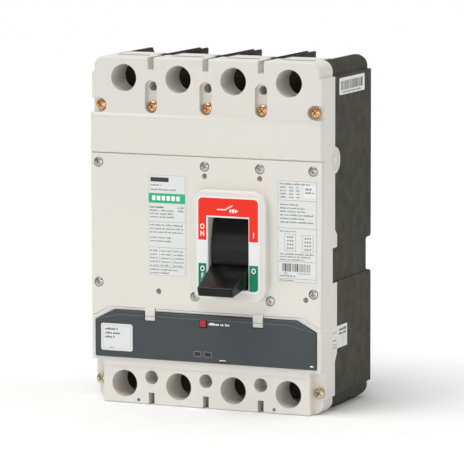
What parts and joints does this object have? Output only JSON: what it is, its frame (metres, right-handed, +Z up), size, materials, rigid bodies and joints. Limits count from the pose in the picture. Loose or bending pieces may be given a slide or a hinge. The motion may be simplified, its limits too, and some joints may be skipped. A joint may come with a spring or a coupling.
{
  "type": "molded case circuit breaker",
  "caption": "Upright molded case circuit breaker with a toggle handle, screw access holes at both ends, a trip unit panel and a rear mounting face.",
  "frame": {"origin": "middle of the rear mounting face", "axes": "+Z up towards the line end, +Y out of the rear mounting face, +X to the right seen from the front"},
  "size_m": [0.1834, 0.1348, 0.2572],
  "materials": {
    "cover_plastic": "fine satin moulded thermoset, warm light grey",
    "base_plastic": "satin moulded thermoset, dark olive grey",
    "panel_plastic": "smooth satin moulded plastic, slate grey",
    "handle_plastic": "satin moulded plastic, black",
    "red_plastic": "glossy moulded plastic, red",
    "black_plastic": "moulded thermoset, black",
    "yellow_zinc": "yellow passivated zinc plating on steel",
    "clear_zinc": "clear zinc plating on steel",
    "steel": "plated sheet steel",
    "copper": "bare and silvered copper",
    "fibre": "vulcanised fibre",
    "paper": "printed polyester film"
  },
  "bodies": {
    "case": {"base": "base_plastic", "front_cover": "cover_plastic", "accessory_cover": "cover_plastic", "trip_unit_panel": "panel_plastic", "cover_screw_1": "yellow_zinc", "cover_screw_2": "yellow_zinc", "cover_screw_3": "yellow_zinc", "cover_screw_4": "yellow_zinc", "cover_screw_5": "yellow_zinc", "cover_screw_6": "yellow_zinc", "cover_screw_7": "yellow_zinc", "accessory_cover_screw_1": "clear_zinc", "accessory_cover_screw_2": "clear_zinc", "accessory_cover_screw_3": "clear_zinc", "accessory_cover_screw_4": "clear_zinc", "accessory_cover_screw_5": "clear_zinc", "accessory_cover_screw_6": "clear_zinc", "accessory_cover_screw_7": "clear_zinc", "accessory_cover_screw_8": "clear_zinc", "side_plate_left": "steel", "side_plate_right": "steel", "trip_unit_body": "black_plastic", "line_terminal_1": "copper", "load_terminal_1": "copper", "line_terminal_screw_1": "clear_zinc", "load_terminal_screw_1": "clear_zinc", "arc_chute_1": "fibre", "line_terminal_2": "copper", "load_terminal_2": "copper", "line_terminal_screw_2": "clear_zinc", "load_terminal_screw_2": "clear_zinc", "arc_chute_2": "fibre", "line_terminal_3": "copper", "load_terminal_3": "copper", "line_terminal_screw_3": "clear_zinc", "load_terminal_screw_3": "clear_zinc", "arc_chute_3": "fibre", "line_terminal_4": "copper", "load_terminal_4": "copper", "line_terminal_screw_4": "clear_zinc", "load_terminal_screw_4": "clear_zinc", "arc_chute_4": "fibre", "rating_label": "paper", "instruction_label": "paper", "handle_position_label": "paper", "panel_label": "paper"},
    "handle": {"handle": "handle_plastic", "handle_arm": "steel", "spring_left": "steel", "spring_right": "steel"},
    "contacts": {"crossbar": "black_plastic", "contact_arm_1": "copper", "contact_arm_2": "copper", "contact_arm_3": "copper", "contact_arm_4": "copper"},
    "lower_link": {"lower_toggle_link": "steel"},
    "upper_link": {"upper_toggle_link": "steel"},
    "cradle": {"cradle": "steel"},
    "trip_bar": {"trip_bar": "black_plastic"},
    "button": {"push_to_trip_button": "red_plastic"}
  },
  "joints": [
    {"name": "handle_swing", "type": "hinge", "parent": "case", "child": "handle", "pos_m": [0.02185, -0.048, -0.01065], "axis": [-1, 0, 0], "range_deg": [0, 33]},
    {"name": "contacts_swing", "type": "hinge", "parent": "case", "child": "contacts", "pos_m": [0, -0.036, -0.03265], "axis": [-1, 0, 0], "range_deg": [0, 18]},
    {"name": "lower_link_swing", "type": "hinge", "parent": "contacts", "child": "lower_link", "pos_m": [0.02185, -0.04349, -0.01931], "axis": [1, 0, 0], "range_deg": [0, 6.37]},
    {"name": "upper_link_swing", "type": "hinge", "parent": "lower_link", "child": "upper_link", "pos_m": [0.02185, -0.05907, -0.01298], "axis": [1, 0, 0], "range_deg": [0, 37.99]},
    {"name": "cradle_swing", "type": "hinge", "parent": "case", "child": "cradle", "pos_m": [0.02185, -0.034, 0.01335], "axis": [-1, 0, 0], "range_deg": [0, 8]},
    {"name": "button_press", "type": "slide", "parent": "case", "child": "button", "axis": [0, 1, 0], "range_m": [0, 0.0025], "stiffness_N_per_m": 300},
    {"name": "trip_bar_turn", "type": "hinge", "parent": "case", "child": "trip_bar", "pos_m": [0, -0.085, -0.07665], "axis": [-1, 0, 0], "range_deg": [0, 13]}
  ],
  "couplings": [
    {"joint": "contacts_swing", "follows": "handle_swing", "ratio": 0.54545},
    {"joint": "lower_link_swing", "follows": "handle_swing", "ratio": 0.19306},
    {"joint": "upper_link_swing", "follows": "handle_swing", "ratio": 1.1513},
    {"joint": "trip_bar_turn", "follows": "button_press", "rad_per_m": 90.757}
  ]
}
